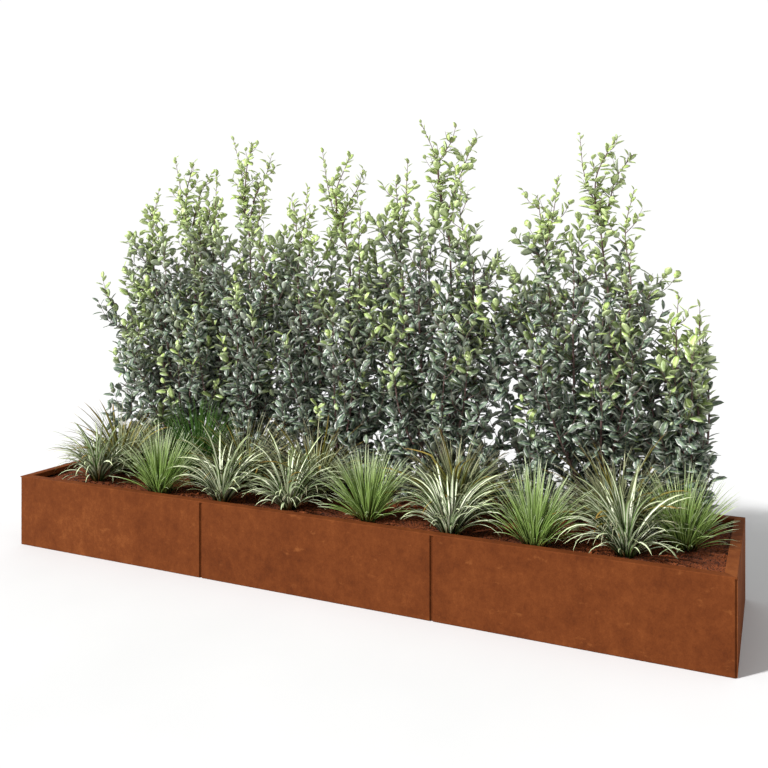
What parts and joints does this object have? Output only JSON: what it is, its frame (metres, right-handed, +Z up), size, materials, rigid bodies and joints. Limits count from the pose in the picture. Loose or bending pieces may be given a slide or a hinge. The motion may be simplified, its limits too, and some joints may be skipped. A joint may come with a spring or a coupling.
{
  "type": "planter box",
  "caption": "Long low planter of weathering steel with folded rims and shadow grooves at its seams, filled with soil and planted with sedges, grasses and a hedge.",
  "frame": {"origin": "centre of the footprint, on the ground", "axes": "+X along the length, +Y from the front to the back, +Z up"},
  "size_m": [3.9, 0.9, 2.45],
  "materials": {
    "weathering_steel": "matte",
    "zinc_steel": "satin",
    "expanded_clay": "matte",
    "fleece": "matte",
    "soil": "matte",
    "striped_leaf": "satin",
    "green_leaf": "satin",
    "bronze_leaf": "satin",
    "shrub_leaf": "satin"
  },
  "bodies": {
    "root": {"front_panel_left": "weathering_steel", "front_panel_middle": "weathering_steel", "front_panel_right": "weathering_steel", "back_panel_left": "weathering_steel", "back_panel_middle": "weathering_steel", "back_panel_right": "weathering_steel", "end_panel_left": "weathering_steel", "end_panel_right": "weathering_steel", "rim_splice_front_1": "weathering_steel", "rim_splice_front_2": "weathering_steel", "rim_splice_back_1": "weathering_steel", "rim_splice_back_2": "weathering_steel", "rim_corner_front_left": "weathering_steel", "rim_corner_front_right": "weathering_steel", "rim_corner_back_left": "weathering_steel", "rim_corner_back_right": "weathering_steel", "base_bearer_1": "weathering_steel", "base_bearer_2": "weathering_steel", "base_bearer_3": "weathering_steel", "base_bearer_4": "weathering_steel", "base_bearer_5": "weathering_steel", "base_bearer_6": "weathering_steel", "base_plate_left": "weathering_steel", "base_plate_middle": "weathering_steel", "base_plate_right": "weathering_steel", "cross_tie_1": "weathering_steel", "cross_tie_2": "weathering_steel", "seam_bolts": "zinc_steel", "seam_nuts": "zinc_steel", "seam_washers": "zinc_steel", "tie_bolts": "zinc_steel", "tie_nuts": "zinc_steel", "corner_studs": "zinc_steel", "corner_nuts": "zinc_steel", "corner_washers": "zinc_steel", "drainage_layer": "expanded_clay", "filter_fleece": "fleece", "soil": "soil", "striped_sedge_1": "striped_leaf", "striped_sedge_2": "striped_leaf", "striped_sedge_3": "striped_leaf", "striped_sedge_4": "striped_leaf", "striped_sedge_5": "striped_leaf", "green_grass_1": "green_leaf", "green_grass_2": "green_leaf", "green_grass_3": "green_leaf", "green_grass_4": "green_leaf", "dark_grass": "green_leaf", "bronze_sedge_1": "bronze_leaf", "bronze_sedge_2": "bronze_leaf", "bronze_sedge_3": "bronze_leaf", "bronze_sedge_4": "bronze_leaf", "bronze_sedge_5": "bronze_leaf", "shrub_1": "shrub_leaf", "shrub_2": "shrub_leaf", "shrub_3": "shrub_leaf", "shrub_4": "shrub_leaf", "shrub_5": "shrub_leaf", "shrub_6": "shrub_leaf"}
  },
  "joints": []
}
